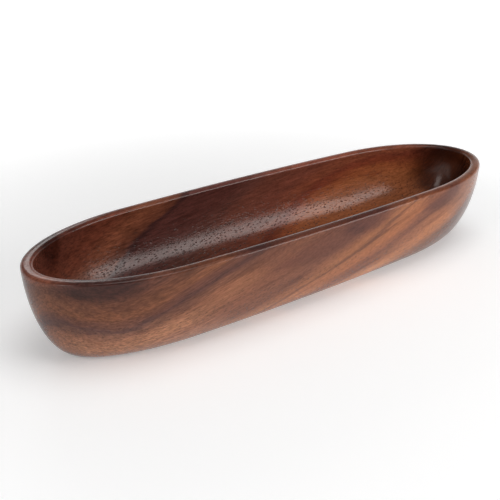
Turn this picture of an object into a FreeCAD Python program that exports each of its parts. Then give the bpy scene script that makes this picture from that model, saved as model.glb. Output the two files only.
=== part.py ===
import FreeCAD, Part
import math
import os
import Sketcher

# Wooden snack boat: a long oval bowl carved from one piece of wood.
# Millimetres. X runs along the boat, Y across it and Z up.
# The origin is the middle of the flat base, on the surface that the boat stands on.

# Every size that can be set by itself: name, value and what it measures.
SIZES = (
    ("length", 305.0, "overall length, at the rim"),
    ("width", 88.5, "overall width, at the middle of the rim"),
    ("height", 51.7, "overall height, from the base to the top of the rim"),
    ("end_run", 74.7, "how far each elliptical end of the rim reaches along the boat"),
    ("side_radius", 1800.0, "radius of the slightly bowed sides, the same at every level"),
    ("base_length", 267.0, "length of the flat base"),
    ("base_width", 45.8, "width of the flat base"),
    ("base_end_run", 66.0, "how far each elliptical end of the base reaches"),
    ("base_corner", 6.0, "degrees by which the hull falls short of lying flat at the base"),
    ("rim_wall", 5.9, "wall at the rim, along the sides"),
    ("end_wall", 6.2, "wall at the rim, at the two ends"),
    ("hollow_end_run", 71.4, "how far each elliptical end of the mouth reaches"),
    ("floor_thickness", 8.0, "wood left under the hollow"),
    ("floor_length", 226.0, "length of the flat bottom of the hollow"),
    ("floor_width", 26.0, "width of the flat bottom of the hollow"),
    ("floor_end_run", 58.0, "how far each elliptical end of the hollow's bottom reaches"),
    ("floor_corner", 3.0, "degrees by which the hollow's wall falls short of lying flat"),
    ("rim_round", 1.6, "radius on the inner and outer edges of the rim"),
)

# In how many steps a wall turns from upright to flat, and so does a rounded edge.
WALL_STEPS = 18
ROUND_STEPS = 4

# Which point of an edge a sketch constraint takes hold of.
START, END, CENTRE = range(1, 4)

# The sketch's own axes and origin, by the numbers that constraints know them by.
X_AXIS, Y_AXIS = -1, -2
ORIGIN = (X_AXIS, START)


def add_sizes(doc):
    """Writes the driving sizes into a sheet, one row each."""
    sheet = doc.addObject("Spreadsheet::Sheet", "sizes")
    for row, (name, value, meaning) in enumerate(SIZES, start=1):
        sheet.set(f"A{row}", name)
        sheet.set(f"B{row}", str(value))
        sheet.set(f"C{row}", meaning)
        sheet.setAlias(f"B{row}", name)
    doc.recompute()


def origin_plane(body, role):
    """Finds one of the body's own origin planes."""
    return next(plane for plane in body.Origin.OriginFeatures if plane.Role == role)


def joint_place(half_length, half_width, end_run, side_radius):
    """Finds about where an end and a side meet, and the turns of both curves there."""
    centre = half_length - end_run
    end_half_width = half_width - centre**2 / (2 * side_radius)
    end_turn = math.pi / 2 - math.atan(centre * end_run / (side_radius * end_half_width))
    side_turn = math.asin((centre + end_run * math.cos(end_turn)) / side_radius)
    return end_half_width, end_turn, side_turn


def end_curve(side, centre, end_run, end_half_width, end_turn):
    """Draws one elliptical end: side is 1 at the +X end and -1 at the other."""
    vector = FreeCAD.Vector
    middle = vector(side * centre, 0, 0)
    ellipse = Part.Ellipse(middle + vector(end_run, 0, 0), middle + vector(0, end_half_width, 0), middle)
    start = 0 if side > 0 else math.pi
    return Part.ArcOfEllipse(ellipse, start - end_turn, start + end_turn)


def side_curve(side, half_width, side_radius, side_turn):
    """Draws one bowed side: side is 1 on the +Y side and -1 on the other."""
    middle = FreeCAD.Vector(0, side * (half_width - side_radius), 0)
    circle = Part.Circle(middle, FreeCAD.Vector(0, 0, 1), side_radius)
    across = side * math.pi / 2
    return Part.ArcOfCircle(circle, across - side_turn, across + side_turn)


def constrain_oval(sketch, edges, numbers):
    """Ties the four curves into one smooth oval about both axes, and names its sizes."""
    right, near_y, left, far_y, right_axis, left_axis = edges
    half_length, half_width, end_run, side_radius = numbers
    rule = Sketcher.Constraint
    sketch.addConstraint([
        rule("Tangent", right, END, near_y, START),
        rule("Tangent", near_y, END, left, START),
        rule("Tangent", left, END, far_y, START),
        rule("Tangent", far_y, END, right, START),
        rule("PointOnObject", right, CENTRE, X_AXIS),
        rule("Symmetric", right, CENTRE, left, CENTRE, *ORIGIN),
        rule("Horizontal", right_axis),
        rule("Horizontal", left_axis),
        rule("Equal", right_axis, left_axis),
        rule("PointOnObject", near_y, CENTRE, Y_AXIS),
        rule("Equal", near_y, far_y),
    ])
    named = {
        "half_length": rule("DistanceX", *ORIGIN, right_axis, START, half_length),
        "end_run": rule("DistanceX", right, CENTRE, right_axis, START, end_run),
        "side_radius": rule("Radius", near_y, side_radius),
        "side_centre": rule("DistanceY", near_y, CENTRE, *ORIGIN, side_radius - half_width),
    }
    for name, constraint in named.items():
        sketch.renameConstraint(sketch.addConstraint(constraint), name)


def add_oval(body, name, half_length, half_width, end_run, level):
    """Adds one level outline of the boat, its four sizes given as formulas on the sheet."""
    sketch = body.newObject("Sketcher::SketchObject", name)
    sketch.AttachmentSupport = [(origin_plane(body, "XY_Plane"), "")]
    sketch.MapMode = "FlatFace"
    radius = "sizes.side_radius"
    numbers = [float(sketch.evalExpression(text)) for text in (half_length, half_width, end_run, radius)]
    end_half_width, end_turn, side_turn = joint_place(*numbers)
    centre = numbers[0] - numbers[2]
    curves = (
        end_curve(1, centre, numbers[2], end_half_width, end_turn),
        side_curve(1, numbers[1], numbers[3], side_turn),
        end_curve(-1, centre, numbers[2], end_half_width, end_turn),
        side_curve(-1, numbers[1], numbers[3], side_turn),
    )
    edges = [sketch.addGeometry(curve, False) for curve in curves]
    for end in (edges[0], edges[2]):
        edges.append(len(sketch.Geometry))
        sketch.exposeInternalGeometry(end)
    constrain_oval(sketch, edges, numbers)
    sketch.setExpression("Constraints.half_length", half_length)
    sketch.setExpression("Constraints.end_run", end_run)
    sketch.setExpression("Constraints.side_radius", radius)
    sketch.setExpression("Constraints.side_centre", f"{radius} - ({half_width})")
    sketch.setExpression("AttachmentOffset.Base.z", level)
    return sketch


def add_turning_outlines(body, prefix, upright, flat, corner, steps):
    """Adds the level outlines of a surface that turns from upright to flat as part of an ellipse.

    upright and flat hold formulas for half length, half width, end run and level. The surface is
    upright at the first outline, and short of lying flat by the corner angle at the last.
    """
    outlines = []
    whole_turn = f"(90 - {corner})"
    for step in range(steps + 1):
        turn = f"{whole_turn} * {step} / {steps}"
        inward = f"(1 - cos({turn})) / (1 - cos({whole_turn}))"
        along = f"sin({turn}) / sin({whole_turn})"
        sizes = [f"{first} + ({last} - {first}) * {inward}" for first, last in zip(upright[:3], flat[:3])]
        level = f"{upright[3]} + ({flat[3]} - {upright[3]}) * {along}"
        outlines.append(add_oval(body, f"{prefix}_{step}", *sizes, level))
    return outlines


def add_loft(doc, body, kind, name, outlines):
    """Adds or cuts the form whose strips join each outline to the next, and returns the new volume."""
    loft = body.newObject(f"PartDesign::{kind}", name)
    loft.Profile = outlines[0]
    loft.Sections = outlines[1:]
    loft.Ruled = True
    doc.recompute()
    return loft.Shape.Volume


def grown(outline, wall, level):
    """Gives the outline that lies a wall's thickness outside another, at its own level."""
    return tuple(f"({size} + {wall})" for size in outline[:3]) + (level,)


def build_bowl(doc):
    """Builds the boat: a hull through level outlines, hollowed out, with both rim edges eased."""
    body = doc.addObject("PartDesign::Body", "Bowl")
    body.Label = "bowl"
    top = "sizes.height"
    shoulder = "(sizes.height - sizes.rim_round)"

    # The hull falls from just under the rim to the flat base, and the rim's outer edge is above it.
    outside = ("sizes.length / 2", "sizes.width / 2", "sizes.end_run", shoulder)
    base = ("sizes.base_length / 2", "sizes.base_width / 2", "sizes.base_end_run", "0")
    outer_edge = grown(outside, "-sizes.rim_round", top)
    hull = add_turning_outlines(body, "hull", outside, base, "sizes.base_corner", WALL_STEPS)
    edge = add_turning_outlines(body, "outer_edge", outside, outer_edge, "0", ROUND_STEPS)
    volumes = [
        add_loft(doc, body, "AdditiveLoft", "hull_form", hull),
        add_loft(doc, body, "AdditiveLoft", "outer_edge_form", edge),
    ]

    # The hollow falls to a flat bottom of its own, and opens out at the rim's inner edge.
    mouth = (
        "(sizes.length / 2 - sizes.end_wall)",
        "(sizes.width / 2 - sizes.rim_wall)",
        "sizes.hollow_end_run",
        shoulder,
    )
    floor = ("sizes.floor_length / 2", "sizes.floor_width / 2", "sizes.floor_end_run", "sizes.floor_thickness")
    inner_edge = grown(mouth, "sizes.rim_round", top)
    hollow = add_turning_outlines(body, "hollow", mouth, floor, "sizes.floor_corner", WALL_STEPS)
    edge = add_turning_outlines(body, "inner_edge", mouth, inner_edge, "0", ROUND_STEPS)
    volumes.append(add_loft(doc, body, "SubtractiveLoft", "hollow_form", hollow))
    volumes.append(add_loft(doc, body, "SubtractiveLoft", "inner_edge_form", edge))
    if not volumes[0] < volumes[1] > volumes[2] > volumes[3]:
        raise RuntimeError(f"a form adds or takes away nothing: {volumes}")
    body.Placement = FreeCAD.Placement()
    doc.recompute()
    return body


def check(doc, bodies):
    """Stops the build if any object failed or any solid is not sound."""
    for item in doc.Objects:
        if "Invalid" in item.State or "Error" in item.State:
            raise RuntimeError(f"{item.Label} failed: {item.State}")
    for body in bodies:
        shape = body.Shape
        if shape.isNull() or not shape.isValid() or len(shape.Solids) != 1:
            raise RuntimeError(f"{body.Label} is not one sound solid")


def main():
    """Builds the document and writes each sub-part to its own file."""
    doc = FreeCAD.newDocument("snack_boat")
    add_sizes(doc)
    bodies = [build_bowl(doc)]
    check(doc, bodies)
    os.makedirs("parts", exist_ok=True)
    for body in bodies:
        body.Shape.exportStep(f"parts/{body.Label}.step")
        box = body.Shape.optimalBoundingBox(False)
        print(f"{body.Label}: {box.XLength:.2f} x {box.YLength:.2f} x {box.ZLength:.2f} mm,"
              f" {body.Shape.Volume / 1000:.1f} cm3")


main()
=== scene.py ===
"""The looks of a wooden snack boat: one long oval bowl carved from dark figured wood."""

import logging
import math
from dataclasses import dataclass
from enum import Enum

import bmesh
import bpy
from mathutils import Matrix, Vector


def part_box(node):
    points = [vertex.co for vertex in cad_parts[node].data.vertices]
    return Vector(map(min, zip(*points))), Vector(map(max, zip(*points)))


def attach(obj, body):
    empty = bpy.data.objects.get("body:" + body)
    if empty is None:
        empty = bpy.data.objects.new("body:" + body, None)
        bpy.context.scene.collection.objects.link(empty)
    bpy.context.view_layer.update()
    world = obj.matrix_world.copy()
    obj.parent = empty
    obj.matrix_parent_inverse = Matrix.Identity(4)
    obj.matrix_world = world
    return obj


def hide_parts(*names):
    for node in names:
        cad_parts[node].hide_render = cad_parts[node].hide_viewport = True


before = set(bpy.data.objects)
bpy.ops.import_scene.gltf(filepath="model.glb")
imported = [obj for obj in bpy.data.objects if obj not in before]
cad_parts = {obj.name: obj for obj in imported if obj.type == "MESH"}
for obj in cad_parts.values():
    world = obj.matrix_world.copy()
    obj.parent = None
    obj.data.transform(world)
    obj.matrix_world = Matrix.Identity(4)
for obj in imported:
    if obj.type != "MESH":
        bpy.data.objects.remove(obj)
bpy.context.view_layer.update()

LOG = logging.getLogger("snack_boat")
MM = 0.001

Span = tuple[float, float]
Place = tuple[float, float, float]
Colour = tuple[float, float, float]
Stops = tuple[tuple[float, Colour], ...]
Socket = bpy.types.NodeSocket
Sockets = bpy.types.bpy_prop_collection


def srgb(red: int, green: int, blue: int) -> Colour:
    """Turns a colour, 0 to 255, into the linear values that shaders take.

    Args:
        red: red as it looks on a screen.
        green: green as it looks on a screen.
        blue: blue as it looks on a screen.

    Returns:
        The linear colour.
    """
    return tuple(((value / 255 + 0.055) / 1.055) ** 2.4 for value in (red, green, blue))


class Wiring:
    """Adds nodes to one shader tree and joins their sockets."""

    # Nearly all the values of noise lie in this stretch.
    NOISE = (0.2, 0.8)

    # The Mix node has sockets for each kind of value. These are its share and its two colours.
    MIX_COLOURS = (0, 6, 7)
    MIXED_COLOUR = 2

    def __init__(self, tree: bpy.types.NodeTree) -> None:
        """Takes the tree to work in."""
        self.tree = tree

    def node(self, kind: str, **settings: object) -> bpy.types.Node:
        """Adds a node.

        Args:
            kind: the node's type, without the words that all shader nodes share.
            settings: the node's own properties.

        Returns:
            The new node.
        """
        made = self.tree.nodes.new(kind if kind.startswith("Node") else f"ShaderNode{kind}")
        for name, value in settings.items():
            setattr(made, name, value)
        return made

    def feed(self, socket: Socket, value: object) -> None:
        """Gives an input socket a constant, or the output of another node.

        Args:
            socket: the input socket.
            value: a constant or a socket, or None to leave the input as it is.
        """
        if isinstance(value, Socket):
            self.tree.links.new(value, socket)
        elif value is not None:
            socket.default_value = value

    def group(self, tree: bpy.types.NodeTree, **values: object) -> Sockets:
        """Places a node group.

        Args:
            tree: the group.
            values: what its inputs take, by their names.

        Returns:
            The group's outputs.
        """
        made = self.node("Group", node_tree=tree)
        for name, value in values.items():
            self.feed(made.inputs[name], value)
        return made.outputs

    def math(self, operation: str, *values: object) -> Socket:
        """Adds one step of arithmetic.

        Args:
            operation: the sum to do, by Blender's name for it.
            values: numbers or sockets, in order.

        Returns:
            The socket with the result.
        """
        made = self.node("Math", operation=operation)
        for socket, value in zip(made.inputs, values):
            self.feed(socket, value)
        return made.outputs[0]

    def span(self, value: object, old: Span, new: Span = (0.0, 1.0),
             smooth: bool = True) -> Socket:
        """Carries one range of numbers over to another, held at both ends.

        Args:
            value: the number or socket to carry over.
            old: where its range starts and ends.
            new: what those two ends become.
            smooth: whether the change eases in and out.

        Returns:
            The socket with the result.
        """
        made = self.node("MapRange", interpolation_type="SMOOTHSTEP" if smooth else "LINEAR")
        for socket, given in zip(made.inputs, (value, *old, *new)):
            self.feed(socket, given)
        return made.outputs[0]

    def swing(self, noise: Socket, reach: float) -> Socket:
        """Turns noise about 0.5 into a swing about zero, as far as its reach on both sides."""
        return self.span(noise, self.NOISE, (-reach, reach), smooth=False)

    def stretch(self, vector: Socket, cell: Place, shift: Place = (0.0, 0.0, 0.0)) -> Socket:
        """Scales coordinates so that a pattern's unit cell has the given sizes.

        Args:
            vector: the coordinates.
            cell: how long the cell is along each axis.
            shift: moves the pattern, so that two uses of it differ.

        Returns:
            The scaled coordinates.
        """
        made = self.node("Mapping")
        self.feed(made.inputs["Vector"], vector)
        made.inputs["Scale"].default_value = tuple(1 / size for size in cell)
        made.inputs["Location"].default_value = shift
        return made.outputs[0]

    def noise(self, vector: Socket, detail: float) -> Socket:
        """Adds soft noise about 0.5, with one lump in each unit cell.

        Args:
            vector: the coordinates, already scaled.
            detail: how many finer layers it has.

        Returns:
            The socket with the noise.
        """
        made = self.node("TexNoise", noise_dimensions="3D")
        for name, value in (("Vector", vector), ("Scale", 1.0), ("Detail", detail)):
            self.feed(made.inputs[name], value)
        return made.outputs["Fac"]

    def blend(self, share: object, first: object, second: object, kind: str = "MIX") -> Socket:
        """Mixes two colours.

        Args:
            share: how much of the second one there is.
            first: a colour or a socket.
            second: a colour or a socket.
            kind: how they mix, by Blender's name for it.

        Returns:
            The mixed colour.
        """
        made = self.node("Mix", data_type="RGBA", blend_type=kind)
        for index, value in zip(self.MIX_COLOURS, (share, first, second)):
            self.feed(made.inputs[index], (*value, 1.0) if isinstance(value, tuple) else value)
        return made.outputs[self.MIXED_COLOUR]


def new_group(name: str, inputs: dict[str, str],
              outputs: dict[str, str]) -> tuple[Wiring, Sockets, Sockets]:
    """Starts a shader node group.

    Args:
        name: the group's name.
        inputs: the kind of each input socket, by name.
        outputs: the kind of each output socket, by name.

    Returns:
        The wiring of the group, its inputs as sockets to read, and its outputs as sockets to feed.
    """
    tree = bpy.data.node_groups.new(name, "ShaderNodeTree")
    for way, sockets in (("INPUT", inputs), ("OUTPUT", outputs)):
        for label, kind in sockets.items():
            tree.interface.new_socket(name=label, in_out=way, socket_type=f"NodeSocket{kind}")
    wiring = Wiring(tree)
    entry, leave = wiring.node("NodeGroupInput"), wiring.node("NodeGroupOutput")
    return wiring, entry.outputs, leave.inputs


@dataclass(frozen=True)
class StainOrPaintedLight:
    """A soft cloud of darker or paler wood: a patch of the wood's own tone, painted light, or
    painted shade. Lengths are in millimetres.
    """

    middle: Place
    reach: Place
    tint: Colour


@dataclass(frozen=True)
class FiguredWood:
    """Dark figured wood under a thin satin lacquer. Lengths are in millimetres."""

    # On the near side the layers rise towards +X, and turn up again past the -X end.
    near_slope: float = 0.43
    near_low_x: float = -122.0
    near_bend: float = 8.0
    near_shift: float = 3.5

    # On the far side they rise more steeply, and level out towards the +X end.
    far_slope: float = 0.56
    far_start_x: float = -100.7
    far_level_x: float = 60.0
    far_bend: float = 30.0

    # The wood changes from one side's figure to the other's over this stretch across the boat.
    change: Span = (-18.0, 26.0)

    # The layers wave gently, and the broad and the thin fibres ruffle them.
    wave_cell: Place = (75.0, 40.0, 30.0)
    wave_detail: float = 2.0
    waviness: float = 2.2
    ruffle: float = 2.6
    thin_ruffle: float = 0.4

    # The fibres climb by this share of the layers' rise, on the near side and on the far side.
    near_follow: float = 0.75
    far_follow: float = 0.22

    # The kinds of fibres, each with its cell and the number of its finer layers.
    fibres: tuple[tuple[str, Place, float], ...] = (
        ("Broad", (60.0, 7.0, 5.0), 3.0),
        ("Thin", (24.0, 2.2, 1.8), 2.0),
        ("Fine", (7.0, 0.9, 0.7), 3.0),
        ("Speck", (1.9, 0.9, 0.8), 2.0),
    )
    fibre_shift: Place = (3.1, 0.4, 1.7)

    # From the first place to the second, towards the -X end, specks give way to streaks. The far
    # side is partly streaky all along.
    streaky: Span = (-35.0, -85.0)
    far_streaky: float = 0.6

    # How strongly each kind shades the wood, where there are specks and where there are streaks.
    shades: tuple[tuple[str, Span], ...] = (
        ("Thin", (0.3, 1.1)),
        ("Fine", (0.5, 1.7)),
        ("Speck", (0.9, 0.4)),
    )

    # How a layer is coloured on each side, by its place across the layers.
    near_layers: Stops = (
        (-95.0, srgb(112, 68, 50)),
        (-77.0, srgb(122, 75, 54)),
        (-63.0, srgb(186, 116, 72)),
        (-57.0, srgb(166, 102, 66)),
        (-48.0, srgb(132, 78, 56)),
        (-41.0, srgb(172, 104, 65)),
        (-34.5, srgb(172, 106, 68)),
        (-32.3, srgb(130, 79, 55)),
        (-29.5, srgb(166, 104, 67)),
        (-25.4, srgb(152, 94, 64)),
        (-20.0, srgb(134, 82, 60)),
        (-6.0, srgb(140, 86, 62)),
        (2.0, srgb(156, 99, 69)),
        (9.0, srgb(148, 93, 66)),
        (13.0, srgb(126, 78, 58)),
        (17.0, srgb(92, 56, 48)),
        (20.5, srgb(114, 68, 52)),
        (25.0, srgb(130, 78, 52)),
        (32.0, srgb(112, 66, 46)),
        (38.0, srgb(106, 63, 48)),
        (44.0, srgb(98, 58, 46)),
    )
    far_layers: Stops = (
        (-80.0, srgb(150, 86, 50)),
        (-56.0, srgb(158, 92, 56)),
        (-50.0, srgb(148, 80, 48)),
        (-44.5, srgb(122, 58, 38)),
        (-42.5, srgb(116, 56, 39)),
        (-39.5, srgb(128, 68, 47)),
        (-30.0, srgb(114, 62, 48)),
        (-18.0, srgb(110, 62, 49)),
        (-9.0, srgb(92, 54, 46)),
        (0.0, srgb(86, 48, 42)),
        (17.0, srgb(84, 47, 42)),
        (19.5, srgb(66, 38, 36)),
        (23.0, srgb(106, 60, 44)),
        (33.0, srgb(124, 71, 50)),
        (45.0, srgb(108, 56, 40)),
        (60.0, srgb(92, 47, 36)),
        (74.0, srgb(78, 43, 34)),
        (81.0, srgb(146, 90, 72)),
    )

    # The clouds, darker ones first: patches of the wood's own tone, and some painted light and
    # shade, each marked below. Each fades out over the given share of its reach, and the broad
    # fibres ruffle its edge.
    stains_and_painted_light: tuple[StainOrPaintedLight, ...] = (
        StainOrPaintedLight((147.0, 10.0, 32.0), (27.0, 44.0, 38.0), (0.22, 0.16, 0.15)),
        StainOrPaintedLight((152.0, -6.0, 50.0), (40.0, 46.0, 10.0), (0.66, 0.62, 0.70)),
        StainOrPaintedLight((138.0, -28.0, 34.0), (62.0, 30.0, 52.0), (0.60, 0.53, 0.50)),
        StainOrPaintedLight((-131.0, 26.0, 50.0), (9.0, 16.0, 18.0), (0.40, 0.30, 0.28)),
        StainOrPaintedLight((-130.0, -32.0, 50.0), (30.0, 26.0, 10.5), (0.42, 0.38, 0.46)),
        # Painted shade: the near rim's top, darker all along, for the dark room that it reflects.
        StainOrPaintedLight((10.0, -42.0, 53.0), (170.0, 7.0, 3.6), (0.55, 0.46, 0.48)),
        StainOrPaintedLight((-16.0, -44.0, 44.0), (50.0, 16.0, 15.0), (0.68, 0.64, 0.72)),
        StainOrPaintedLight((24.0, -44.0, 49.0), (24.0, 14.0, 11.0), (0.60, 0.55, 0.66)),
        StainOrPaintedLight((86.0, -44.0, 47.0), (26.0, 14.0, 12.0), (0.62, 0.58, 0.68)),
        # Painted shade: darker low in the hollow, below the lamp's highlight, for the dark room
        # that its lacquer reflects there.
        StainOrPaintedLight((-14.0, 28.0, 13.0), (90.0, 18.0, 9.0), (0.76, 0.70, 0.64)),
        # Painted light: the near side paler and greyer low down, for the light that the white table
        # throws up and that the lacquer reflects.
        StainOrPaintedLight((-110.0, -30.0, 10.0), (60.0, 26.0, 24.0), (1.46, 1.66, 1.74)),
        StainOrPaintedLight((10.0, -30.0, 5.0), (170.0, 18.0, 12.0), (1.26, 1.40, 1.48)),
        # Partly paler sanded wood and partly painted light: the rim's top, lighter where it faces
        # the light from above.
        StainOrPaintedLight((-150.0, -8.0, 53.0), (26.0, 40.0, 6.0), (1.60, 1.52, 1.48)),
        StainOrPaintedLight((30.0, 42.0, 53.0), (110.0, 8.0, 5.0), (1.60, 1.50, 1.45)),
    )
    patch_fade: Span = (0.45, 1.0)
    patch_ruffle: float = 0.12

    # Where the broad fibres are strongest they tint the wood a little.
    broad_strong: Span = (0.55, 0.75)
    broad_share: float = 0.6
    broad_tint: Colour = srgb(178, 160, 156)

    # The pores, of which there are more where the broad fibres are strong.
    pore_cell: Place = (2.8, 0.95, 0.9)
    pore_edge: Span = (0.16, 0.37)
    crowding: Span = (0.35, 0.65)
    crowd: Span = (0.6, 0.95)
    crowd_edge: float = 0.05

    # How much of their own colour they show, on the near side and on the far side.
    pore_colour: Colour = srgb(32, 15, 10)
    pore_share: Span = (0.6, 0.9)

    # Below this stretch of height the pores are open, and above it the lacquer half fills them.
    open_below: Span = (24.0, 33.0)
    left_open: float = 0.4

    # The lacquer reflects with a slightly warm tint, and is a little rougher over some fibres
    # and in the pores.
    gloss: float = 0.3
    gloss_tint: Colour = (1.0, 0.93, 0.90)
    roughening: Span = (0.3, 0.7)
    roughness: Span = (0.12, 0.22)
    pore_roughness: float = 0.1

    # The relief: how far the fine fibres stand out against the pores' depth, and that depth.
    fibre_relief: float = 0.12
    relief_strength: float = 0.6
    relief_depth: float = 0.08

    def growth_group(self) -> bpy.types.NodeTree:
        """Builds the field that tells, for each point of the wood, which growth layer it is in.

        Returns:
            The group, which puts out the layer's place, the share of the far side's figure, how
            streaky the wood is and coordinates that follow the fibres.
        """
        outputs = {"Layer": "Float", "Far": "Float", "Streaky": "Float", "Fibre": "Vector"}
        work, given, out = new_group("growth layers", {"Position": "Vector"}, outputs)
        parts = work.node("SeparateXYZ")
        work.feed(parts.inputs[0], given["Position"])
        x, y, z = parts.outputs

        past_low = self.rounded(work, work.math("SUBTRACT", x, self.near_low_x), self.near_bend)
        near_rise = work.math("MULTIPLY", past_low, self.near_slope)
        near_rise = work.math("ADD", near_rise, self.near_shift)

        # Half the sum of two numbers less half their rounded difference is the lower of the two.
        past_level = self.rounded(work, work.math("SUBTRACT", x, self.far_level_x), self.far_bend)
        lower = work.math("SUBTRACT", work.math("ADD", x, self.far_level_x), past_level)
        past_start = work.math("SUBTRACT", work.math("MULTIPLY", lower, 0.5), self.far_start_x)
        far_rise = work.math("MULTIPLY", past_start, self.far_slope)

        far = work.span(y, self.change)
        rise = self.mixed(work, far, near_rise, far_rise)
        follow = self.mixed(work, far, self.near_follow, self.far_follow)
        wave = work.noise(work.stretch(given["Position"], self.wave_cell), self.wave_detail)
        level = work.math("ADD", work.math("SUBTRACT", z, rise), work.swing(wave, self.waviness))
        along = work.node("CombineXYZ")
        climbed = work.math("SUBTRACT", z, work.math("MULTIPLY", rise, follow))
        for socket, value in zip(along.inputs, (x, y, climbed)):
            work.feed(socket, value)
        work.feed(out["Layer"], level)
        work.feed(out["Far"], far)
        work.feed(out["Streaky"], work.span(x, self.streaky))
        work.feed(out["Fibre"], along.outputs[0])
        return work.tree

    @staticmethod
    def rounded(work: Wiring, value: Socket, bend: float) -> Socket:
        """Adds a value's size without its sign, with the corner at zero rounded off."""
        return work.math("SQRT", work.math("ADD", work.math("MULTIPLY", value, value), bend**2))

    @staticmethod
    def mixed(work: Wiring, share: Socket, first: object, second: object) -> Socket:
        """Goes a share of the way from one number to another.

        Args:
            work: the wiring of the group.
            share: the share of the way.
            first: the number or socket to start from.
            second: the number or socket to end at.

        Returns:
            The socket with the number.
        """
        made = work.node("Mix", data_type="FLOAT")
        for socket, value in zip(made.inputs, (share, None, first, second)):
            work.feed(socket, value)
        return made.outputs[0]

    def fibre_group(self) -> bpy.types.NodeTree:
        """Builds the streaks of the fibres, from broad soft ones down to short specks.

        Returns:
            The group, which puts out each kind as a value about 0.5.
        """
        outputs = {kind: "Float" for kind, _, _ in self.fibres}
        work, given, out = new_group("fibres", {"Fibre": "Vector"}, outputs)
        for index, (kind, cell, detail) in enumerate(self.fibres):
            shift = tuple(index * step for step in self.fibre_shift)
            work.feed(out[kind], work.noise(work.stretch(given["Fibre"], cell, shift), detail))
        return work.tree

    def pore_group(self) -> bpy.types.NodeTree:
        """Builds the open pores: short dark dashes that lie along the fibres.

        Returns:
            The group, which puts out 1 in a pore and 0 between them.
        """
        inputs = {"Fibre": "Vector", "Crowd": "Float"}
        work, given, out = new_group("pores", inputs, {"Pore": "Float"})
        cells = work.node("TexVoronoi", feature="F1", voronoi_dimensions="3D")
        work.feed(cells.inputs["Vector"], work.stretch(given["Fibre"], self.pore_cell))
        work.feed(cells.inputs["Scale"], 1.0)
        near = work.span(cells.outputs["Distance"], self.pore_edge, (1.0, 0.0))
        lot = work.node("SeparateColor")
        work.feed(lot.inputs[0], cells.outputs["Color"])
        over = work.math("SUBTRACT", lot.outputs[0], given["Crowd"])
        there = work.span(over, (-self.crowd_edge, self.crowd_edge), (1.0, 0.0))
        work.feed(out["Pore"], work.math("MULTIPLY", near, there))
        return work.tree

    def make(self, name: str) -> bpy.types.Material:
        """Builds the finished material.

        Args:
            name: the material's name.

        Returns:
            The material.
        """
        material = bpy.data.materials.new(name)
        material.use_nodes = True
        work = Wiring(material.node_tree)
        surface = material.node_tree.nodes["Principled BSDF"]
        position = work.stretch(work.node("TexCoord").outputs["Object"], (MM, MM, MM))
        growth = work.group(self.growth_group(), Position=position)
        fibres = work.group(self.fibre_group(), Fibre=growth["Fibre"])
        crowd = work.span(fibres["Broad"], self.crowding, self.crowd)
        pores = work.group(self.pore_group(), Fibre=growth["Fibre"], Crowd=crowd)["Pore"]
        parts = work.node("SeparateXYZ")
        work.feed(parts.inputs[0], position)
        left_open = work.span(parts.outputs[2], self.open_below, (1.0, self.left_open))
        pores = work.math("MULTIPLY", pores, left_open)

        colour = self.figure(work, position, growth, fibres)
        share = work.span(growth["Far"], (0.0, 1.0), self.pore_share)
        colour = work.blend(work.math("MULTIPLY", pores, share), colour, self.pore_colour)
        work.feed(surface.inputs["Base Color"], colour)
        self.lacquer(work, surface, fibres["Fine"], pores)
        return material

    def figure(self, work: Wiring, position: Socket, growth: Sockets, fibres: Sockets) -> Socket:
        """Colours the wood between its pores, with its painted light and shade.

        Args:
            work: the wiring of the material.
            position: the place in the wood, in millimetres.
            growth: what the growth layers put out.
            fibres: what the fibres put out.

        Returns:
            The colour of the wood.
        """
        broad, thin = fibres["Broad"], fibres["Thin"]
        ruffles = work.math("ADD", work.swing(broad, self.ruffle),
                            work.swing(thin, self.thin_ruffle))
        layer = work.math("ADD", growth["Layer"], ruffles)
        colour = work.blend(growth["Far"], self.ramp(work, layer, self.near_layers),
                            self.ramp(work, layer, self.far_layers))
        for patch in self.stains_and_painted_light:
            share = self.cloud(work, position, patch, broad)
            colour = work.blend(share, colour, patch.tint, "MULTIPLY")
        share = work.span(broad, self.broad_strong, (0.0, self.broad_share))
        colour = work.blend(share, colour, self.broad_tint, "MULTIPLY")

        far_streaky = work.math("MULTIPLY", growth["Far"], self.far_streaky)
        streaky = work.math("MAXIMUM", growth["Streaky"], far_streaky)
        for kind, strengths in self.shades:
            strength = work.span(streaky, (0.0, 1.0), strengths, smooth=False)
            shade = work.math("MULTIPLY", work.math("SUBTRACT", fibres[kind], 0.5), strength)
            colour = self.shaded(work, colour, work.math("ADD", shade, 1.0))
        return colour

    def lacquer(self, work: Wiring, surface: bpy.types.Node, fine: Socket, pores: Socket) -> None:
        """Gives the wood its satin surface, and the relief of its fibres and pores.

        Args:
            work: the wiring of the material.
            surface: the material's own shader.
            fine: the fine fibres.
            pores: the pores.
        """
        surface.inputs["Specular IOR Level"].default_value = self.gloss
        surface.inputs["Specular Tint"].default_value = (*self.gloss_tint, 1.0)
        rough = work.span(fine, self.roughening, self.roughness, smooth=False)
        rough_pores = work.math("MULTIPLY", pores, self.pore_roughness)
        work.feed(surface.inputs["Roughness"], work.math("ADD", rough, rough_pores))
        height = work.math("SUBTRACT", work.math("MULTIPLY", fine, self.fibre_relief), pores)
        relief = work.node("Bump")
        work.feed(relief.inputs["Height"], height)
        relief.inputs["Strength"].default_value = self.relief_strength
        relief.inputs["Distance"].default_value = self.relief_depth * MM
        work.feed(surface.inputs["Normal"], relief.outputs[0])

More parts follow.
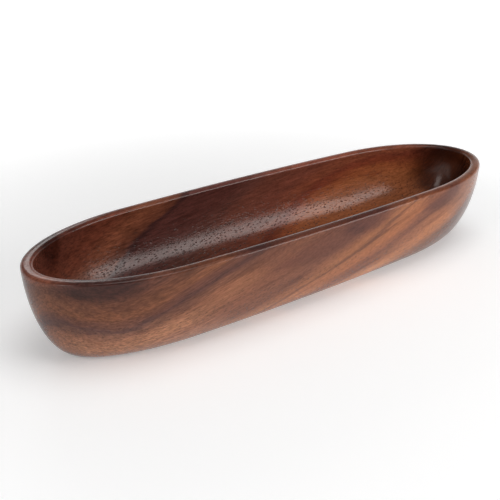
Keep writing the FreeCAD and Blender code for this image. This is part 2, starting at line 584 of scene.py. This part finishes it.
    @staticmethod
    def ramp(work: Wiring, layer: Socket, stops: Stops) -> Socket:
        """Colours the growth layers.

        Args:
            work: the wiring of the material.
            layer: the place across the layers, in millimetres.
            stops: the colours, by their places.

        Returns:
            The colour of the wood.
        """
        first, last = stops[0][0], stops[-1][0]
        ramp = work.node("ValToRGB")
        ramp.color_ramp.interpolation = "EASE"
        work.feed(ramp.inputs[0], work.span(layer, (first, last), smooth=False))
        marks = ramp.color_ramp.elements
        marks[0].color = (*stops[0][1], 1.0)
        marks[1].color = (*stops[-1][1], 1.0)
        for at, colour in stops[1:-1]:
            marks.new((at - first) / (last - first)).color = (*colour, 1.0)
        return ramp.outputs[0]

    def cloud(self, work: Wiring, position: Socket, patch: StainOrPaintedLight, broad: Socket) -> Socket:
        """Fades a cloud of tone, painted light or painted shade out from its middle.

        Args:
            work: the wiring of the material.
            position: the place in the wood, in millimetres.
            patch: the cloud of tone, painted light or painted shade.
            broad: the broad fibres, which ruffle its edge.

        Returns:
            The share of the stain, 0 to 1.
        """
        shift = tuple(-at / size for at, size in zip(patch.middle, patch.reach))
        length = work.node("VectorMath", operation="LENGTH")
        work.feed(length.inputs[0], work.stretch(position, patch.reach, shift))
        edge = work.math("ADD", length.outputs["Value"], work.swing(broad, self.patch_ruffle))
        return work.span(edge, self.patch_fade, (1.0, 0.0))

    @staticmethod
    def shaded(work: Wiring, colour: Socket, shade: Socket) -> Socket:
        """Makes a colour lighter or darker.

        Args:
            work: the wiring of the material.
            colour: the colour.
            shade: what it is multiplied by.

        Returns:
            The shaded colour.
        """
        grey = work.node("CombineColor")
        for socket in grey.inputs:
            work.feed(socket, shade)
        return work.blend(1.0, colour, grey.outputs[0], "MULTIPLY")


@dataclass(frozen=True)
class Oval:
    """A level outline: two elliptical ends that run smoothly into two slightly bowed sides."""

    half_length: float
    half_width: float
    end_run: float
    side_radius: float
    level: float

    END_POINTS = 104
    SIDE_POINTS = 56
    JOINT_ROUNDS = 12

    def joint(self) -> tuple[float, float, float]:
        """Finds where an end runs into a side, in rounds that come closer and closer.

        Returns:
            The ellipse's half width, and how far the end and the side each turn from their middles.
        """
        centre = self.half_length - self.end_run
        end_turn = math.pi / 2
        for _ in range(self.JOINT_ROUNDS):
            x = centre + self.end_run * math.cos(end_turn)
            drop = math.sqrt(self.side_radius**2 - x**2)
            y = self.half_width - self.side_radius + drop
            end_turn = math.acos(x / drop * self.end_run * math.sin(end_turn) ** 2 / y)
        return y / math.sin(end_turn), end_turn, math.asin(x / self.side_radius)

    def points(self) -> list[Vector]:
        """Walks round the outline from the near side of the +X end.

        Returns:
            The points, as many on every oval.
        """
        end_half_width, end_turn, side_turn = self.joint()
        centre = self.half_length - self.end_run
        side_centre = self.half_width - self.side_radius
        walk = []
        for side in (1, -1):
            for step in range(self.END_POINTS):
                turn = end_turn * (2 * step / self.END_POINTS - 1)
                x = centre + self.end_run * math.cos(turn)
                y = end_half_width * math.sin(turn)
                walk.append(Vector((side * x, side * y, self.level)))
            for step in range(self.SIDE_POINTS):
                turn = side_turn * (1 - 2 * step / self.SIDE_POINTS)
                x = self.side_radius * math.sin(turn)
                y = side_centre + self.side_radius * math.cos(turn)
                walk.append(Vector((side * x, side * y, self.level)))
        return walk

    def between(self, other: "Oval", inward: float, along: float) -> "Oval":
        """Gives the outline part of the way to another one.

        Args:
            other: the other outline.
            inward: the share of the way in plan, 0 to 1.
            along: the share of the way in height, 0 to 1.

        Returns:
            The outline in between.
        """
        def mixed(first: float, second: float, share: float = inward) -> float:
            """Goes a share of the way from one number to another."""
            return first + (second - first) * share

        return Oval(
            mixed(self.half_length, other.half_length),
            mixed(self.half_width, other.half_width),
            mixed(self.end_run, other.end_run),
            self.side_radius,
            mixed(self.level, other.level, along),
        )

    def grown(self, by: float, level: float) -> "Oval":
        """Gives the outline that lies a little outside this one, at a level of its own."""
        sizes = (self.half_length + by, self.half_width + by, self.end_run + by)
        return Oval(*sizes, self.side_radius, level)


class Wall(Enum):
    """The two faces of the boat's wall."""

    HULL = "hull"
    HOLLOW = "hollow"


@dataclass
class SnackBoat:
    """The whole boat: a hull, a hollow in it and an even rim with rounded edges."""

    half_length: float
    half_width: float
    height: float
    end_run: float = 74.7 * MM
    side_radius: float = 1800.0 * MM
    base_half_length: float = 133.5 * MM
    base_half_width: float = 22.9 * MM
    base_end_run: float = 66.0 * MM
    base_corner: float = math.radians(6.0)
    rim_wall: float = 5.9 * MM
    end_wall: float = 6.2 * MM
    hollow_end_run: float = 71.4 * MM
    floor_thickness: float = 8.0 * MM
    floor_half_length: float = 113.0 * MM
    floor_half_width: float = 13.0 * MM
    floor_end_run: float = 58.0 * MM
    floor_corner: float = math.radians(3.0)
    rim_round: float = 1.6 * MM

    # How steeply the rim's slightly crowned top meets its two rounded edges.
    rim_crown: float = math.radians(12.0)

    # In how many steps each form is made, and how far inside the two flat bottoms a ring lies.
    WALL_STEPS = 30
    ROUND_STEPS = 6
    CROWN_STEPS = 6
    INSET = 0.92

    def wall_outlines(self, wall: Wall) -> list[Oval]:
        """Gives the level outlines of one face of the wall, from its flat bottom to its shoulder.

        Args:
            wall: which face.

        Returns:
            The outlines, the last one where the rim's rounded edge starts.
        """
        shoulder = self.height - self.rim_round
        if wall is Wall.HULL:
            upright = Oval(self.half_length, self.half_width, self.end_run,
                           self.side_radius, shoulder)
            flat = Oval(self.base_half_length, self.base_half_width, self.base_end_run,
                        self.side_radius, 0.0)
            whole = math.pi / 2 - self.base_corner
        else:
            upright = Oval(self.half_length - self.end_wall, self.half_width - self.rim_wall,
                           self.hollow_end_run, self.side_radius, shoulder)
            flat = Oval(self.floor_half_length, self.floor_half_width, self.floor_end_run,
                        self.side_radius, self.floor_thickness)
            whole = math.pi / 2 - self.floor_corner
        rising = []
        for step in range(self.WALL_STEPS, -1, -1):
            turn = whole * step / self.WALL_STEPS
            inward = (1 - math.cos(turn)) / (1 - math.cos(whole))
            rising.append(upright.between(flat, inward, math.sin(turn) / math.sin(whole)))
        return rising

    def edge_outlines(self, shoulder: Oval, side: int) -> list[Oval]:
        """Gives the outlines of one rounded edge of the rim, from the shoulder up.

        Args:
            shoulder: the wall's highest outline.
            side: -1 for the outer edge, which closes in as it rises, and 1 for the inner one.

        Returns:
            The outlines, the last one where the rim's slight crown starts.
        """
        crown_run = self.rim_wall / 2 - self.rim_round * (1 - math.sin(self.rim_crown))
        crown_rise = crown_run * math.tan(self.rim_crown) / 2
        squeeze = (self.rim_round - crown_rise) / (self.rim_round * math.cos(self.rim_crown))
        rising = []
        for step in range(1, self.ROUND_STEPS + 1):
            turn = (math.pi / 2 - self.rim_crown) * step / self.ROUND_STEPS
            level = shoulder.level + self.rim_round * squeeze * math.sin(turn)
            rising.append(shoulder.grown(side * self.rim_round * (1 - math.cos(turn)), level))
        return rising

    def rim_outlines(self, outer: Oval, inner: Oval) -> list[Oval]:
        """Gives the outlines across the top of the rim, slightly crowned as by sanding.

        Args:
            outer: the last outline of the outer edge.
            inner: the last outline of the inner edge.

        Returns:
            The outlines between the two.
        """
        across = []
        for step in range(1, self.CROWN_STEPS):
            share = step / self.CROWN_STEPS
            level = self.height - (self.height - outer.level) * (2 * share - 1) ** 2
            across.append(outer.between(inner, share, 0.0).grown(0.0, level))
        return across

    def build(self, name: str) -> bpy.types.Object:
        """Models the boat as one closed skin.

        Args:
            name: the piece's name.

        Returns:
            The piece, its place in its mesh.
        """
        hull, hollow = self.wall_outlines(Wall.HULL), self.wall_outlines(Wall.HOLLOW)
        hull += self.edge_outlines(hull[-1], -1)
        hollow += self.edge_outlines(hollow[-1], 1)
        rings = [*hull, *self.rim_outlines(hull[-1], hollow[-1]), *reversed(hollow)]
        skin = bmesh.new()
        count = 2 * (Oval.END_POINTS + Oval.SIDE_POINTS)
        order = skin.verts.layers.int.new("order")
        start = bmesh.ops.create_circle(skin, cap_ends=False, segments=count, radius=1.0)["verts"]
        for index, vert in enumerate(start):
            vert[order] = index
        edges = self.closed_bottom(skin, start, rings[0], order)
        for outline in rings[1:]:
            edges = self.next_ring(skin, edges, outline, order)
        self.close_floor(skin, edges, rings[-1], order)
        bmesh.ops.recalc_face_normals(skin, faces=skin.faces)
        mesh = bpy.data.meshes.new(name)
        skin.to_mesh(mesh)
        skin.free()
        mesh.shade_smooth()
        piece = bpy.data.objects.new(name, mesh)
        bpy.context.scene.collection.objects.link(piece)
        return piece

    @staticmethod
    def lay(verts: list, outline: Oval, order: object, scale: float = 1.0) -> None:
        """Moves a ring of corners onto an outline.

        Args:
            verts: the ring's corners.
            outline: where they go.
            order: the layer that holds each corner's place in the ring.
            scale: shrinks the outline about the middle.
        """
        walk = outline.points()
        for vert in verts:
            point = walk[vert[order]]
            vert.co = Vector((point.x * scale, point.y * scale, point.z))

    def next_ring(self, skin: bmesh.types.BMesh, edges: list, outline: Oval, order: object,
                  scale: float = 1.0) -> list:
        """Carries the skin on from one ring of edges to the next outline.

        Args:
            skin: the mesh under way.
            edges: the ring to go on from.
            outline: where the new ring goes.
            order: the layer that holds each corner's place in the ring.
            scale: shrinks the outline about the middle.

        Returns:
            The edges of the new ring.
        """
        grown = bmesh.ops.extrude_edge_only(skin, edges=edges)["geom"]
        verts = [part for part in grown if isinstance(part, bmesh.types.BMVert)]
        self.lay(verts, outline, order, scale)
        return [part for part in grown if isinstance(part, bmesh.types.BMEdge)]

    def closed_bottom(self, skin: bmesh.types.BMesh, ring: list, outline: Oval,
                      order: object) -> list:
        """Lays the first ring inside the base's edge, closes it and carries it out to the edge.

        Args:
            skin: the mesh under way, with one ring of edges in it.
            ring: that ring's corners.
            outline: the base's own outline.
            order: the layer that holds each corner's place in the ring.

        Returns:
            The edges of the base's own outline.
        """
        self.lay(ring, outline, order, self.INSET)
        edges = list(skin.edges)
        bmesh.ops.contextual_create(skin, geom=edges)
        return self.next_ring(skin, edges, outline, order)

    def close_floor(self, skin: bmesh.types.BMesh, edges: list, outline: Oval,
                    order: object) -> None:
        """Closes the hollow's floor with a ring a little inside its edge."""
        inner = self.next_ring(skin, edges, outline, order, self.INSET)
        bmesh.ops.contextual_create(skin, geom=inner)

    def dress(self, piece: bpy.types.Object, finish: FiguredWood) -> None:
        """Gives the boat its wood, and puts it in the place of the plain solid.

        Args:
            piece: the boat.
            finish: the wood.
        """
        piece.data.materials.append(finish.make("satin_wood"))
        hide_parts("bowl")
        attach(piece, "root")


def bearing(azimuth: float, elevation: float) -> Vector:
    """Gives a direction seen from the boat.

    Args:
        azimuth: degrees from the near side, -Y, towards +X.
        elevation: degrees above the table.

    Returns:
        The unit vector.
    """
    across, above = math.radians(azimuth), math.radians(elevation)
    flat = math.cos(above)
    return Vector((flat * math.sin(across), -flat * math.cos(across), math.sin(above)))


@dataclass(frozen=True)
class Softbox:
    """One soft lamp: where it stands, how large it is and how strongly it glows."""

    name: str
    azimuth: float
    elevation: float
    distance: float
    width: float
    height: float
    watts: float

    def place(self, middle: Vector) -> None:
        """Adds the lamp, facing the boat.

        Args:
            middle: the middle of the boat.
        """
        lamp = bpy.data.lights.new(self.name, "AREA")
        lamp.shape = "RECTANGLE"
        lamp.size, lamp.size_y, lamp.energy = self.width, self.height, self.watts
        holder = bpy.data.objects.new(self.name, lamp)
        way = bearing(self.azimuth, self.elevation)
        holder.location = middle + way * self.distance
        holder.rotation_euler = way.to_track_quat("Z", "Y").to_euler()
        bpy.context.scene.collection.objects.link(holder)


@dataclass
class Studio:
    """A white table with a white surround, soft lamps and the camera. Lengths are in metres."""

    middle: Vector

    # The table is flat round the boat, and curves up into a low wall far from it. It lies a hair
    # below the boat's base, so that the two surfaces don't share a plane.
    surround_radius: float = 2.6
    surround_curve: float = 0.5
    surround_height: float = 0.82
    gap: float = 0.05 * MM

    # Seen by the camera or in a reflection, it also glows: weakly beside the boat, where the
    # shadow falls, and more strongly from the first distance to the second.
    table_white: float = 0.95
    table_glow: Span = (0.24, 0.90)
    glow_reach: Span = (0.14, 0.65)
    sky: float = 0.19

    camera_azimuth: float = -35.075
    camera_elevation: float = 26.674
    camera_distance: float = 420.425 * MM
    camera_clip: float = 10.0 * MM

    # The camera looks past the middle by this much, to the right and up, and its focal length is
    # this share of its width.
    aim: Span = (-20.201 * MM, -6.220 * MM)
    focal_share: float = 719.12 / 500

    LAMPS = (
        Softbox("right_softbox", 36.0, 19.0, 0.9, 0.45, 0.44, 3.7),
        Softbox("left_softbox", -74.0, 34.0, 0.9, 0.26, 0.34, 1.05),
        Softbox("back_softbox", 174.0, 31.5, 0.9, 0.25, 0.16, 0.42),
        Softbox("top_softbox", 20.0, 80.0, 1.2, 0.80, 0.80, 5.2),
    )
    CURVE_STEPS = 8
    TURN_STEPS = 72

    def build(self) -> None:
        """Sets everything up."""
        self.add_table()
        self.add_sky()
        for lamp in self.LAMPS:
            lamp.place(self.middle)
        self.add_camera()
        bpy.context.scene.view_settings.view_transform = "Standard"

    def add_table(self) -> None:
        """Adds the table and its surround as one turned sheet: flat, then curving up."""
        sheet = bmesh.new()
        flat = self.surround_radius - self.surround_curve
        turned = [Vector((0.0, 0.0, 0.0)), Vector((flat, 0.0, 0.0))]
        for step in range(1, self.CURVE_STEPS + 1):
            turn = math.pi / 2 * step / self.CURVE_STEPS
            across = flat + self.surround_curve * math.sin(turn)
            above = self.surround_curve - self.surround_curve * math.cos(turn)
            turned.append(Vector((across, 0.0, above)))
        turned.append(Vector((self.surround_radius, 0.0, self.surround_height)))
        verts = [sheet.verts.new(point) for point in turned]
        edges = [sheet.edges.new(pair) for pair in zip(verts, verts[1:])]
        bmesh.ops.spin(sheet, geom=verts + edges, cent=(0, 0, 0), axis=(0, 0, 1),
                       angle=2 * math.pi, steps=self.TURN_STEPS, use_merge=True,
                       use_duplicate=False)
        bmesh.ops.remove_doubles(sheet, verts=sheet.verts, dist=1e-5)
        mesh = bpy.data.meshes.new("table")
        sheet.to_mesh(mesh)
        sheet.free()
        mesh.shade_smooth()
        table = bpy.data.objects.new("table", mesh)
        table.location.z = -self.gap
        table.data.materials.append(self.table_finish())
        bpy.context.scene.collection.objects.link(table)

    def table_finish(self) -> bpy.types.Material:
        """Makes the white of the table, which still takes the boat's shadow.

        Returns:
            The material.
        """
        material = bpy.data.materials.new("table_white")
        material.use_nodes = True
        work = Wiring(material.node_tree)
        material.node_tree.nodes.remove(material.node_tree.nodes["Principled BSDF"])
        rays = work.node("LightPath").outputs
        seen = work.math("MAXIMUM", rays["Is Camera Ray"],
                         work.math("MAXIMUM", rays["Is Glossy Ray"], rays["Is Transmission Ray"]))
        matt, glow, both = work.node("BsdfDiffuse"), work.node("Emission"), work.node("AddShader")
        matt.inputs["Color"].default_value = (self.table_white,) * 3 + (1.0,)
        apart = work.node("VectorMath", operation="LENGTH")
        work.feed(apart.inputs[0], work.node("TexCoord").outputs["Object"])
        strength = work.span(apart.outputs["Value"], self.glow_reach, self.table_glow)
        work.feed(glow.inputs["Strength"], work.math("MULTIPLY", seen, strength))
        work.feed(both.inputs[0], matt.outputs[0])
        work.feed(both.inputs[1], glow.outputs[0])
        work.feed(material.node_tree.nodes["Material Output"].inputs["Surface"], both.outputs[0])
        return material

    def add_sky(self) -> None:
        """Fills the room with even light."""
        world = bpy.data.worlds.new("room")
        world.use_nodes = True
        background = world.node_tree.nodes["Background"]
        background.inputs["Color"].default_value = (self.sky,) * 3 + (1.0,)
        bpy.context.scene.world = world

    def add_camera(self) -> None:
        """Stands the camera where the photograph was taken from."""
        across = math.radians(self.camera_azimuth)
        back = bearing(self.camera_azimuth, self.camera_elevation)
        right = Vector((math.cos(across), math.sin(across), 0.0))
        up = back.cross(right)
        target = self.middle + right * self.aim[0] + up * self.aim[1]
        lens = bpy.data.cameras.new("camera")
        lens.sensor_fit = "HORIZONTAL"
        lens.lens = lens.sensor_width * self.focal_share
        lens.clip_start = self.camera_clip
        holder = bpy.data.objects.new("camera", lens)
        turn = Matrix((right, up, back)).transposed().to_4x4()
        holder.matrix_world = Matrix.Translation(target + back * self.camera_distance) @ turn
        bpy.context.scene.collection.objects.link(holder)
        bpy.context.scene.camera = holder


def main() -> None:
    """Builds the boat, then the studio round it."""
    logging.basicConfig(level=logging.INFO, format="%(name)s: %(message)s")
    low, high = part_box("bowl")
    boat = SnackBoat(half_length=high.x, half_width=high.y, height=high.z)
    piece = boat.build("snack_boat")
    boat.dress(piece, FiguredWood())
    LOG.info("boat: %d faces", len(piece.data.polygons))
    Studio(middle=(low + high) / 2).build()
    LOG.info("studio: %d lamps", len(Studio.LAMPS))


if __name__ == "__main__":
    main()
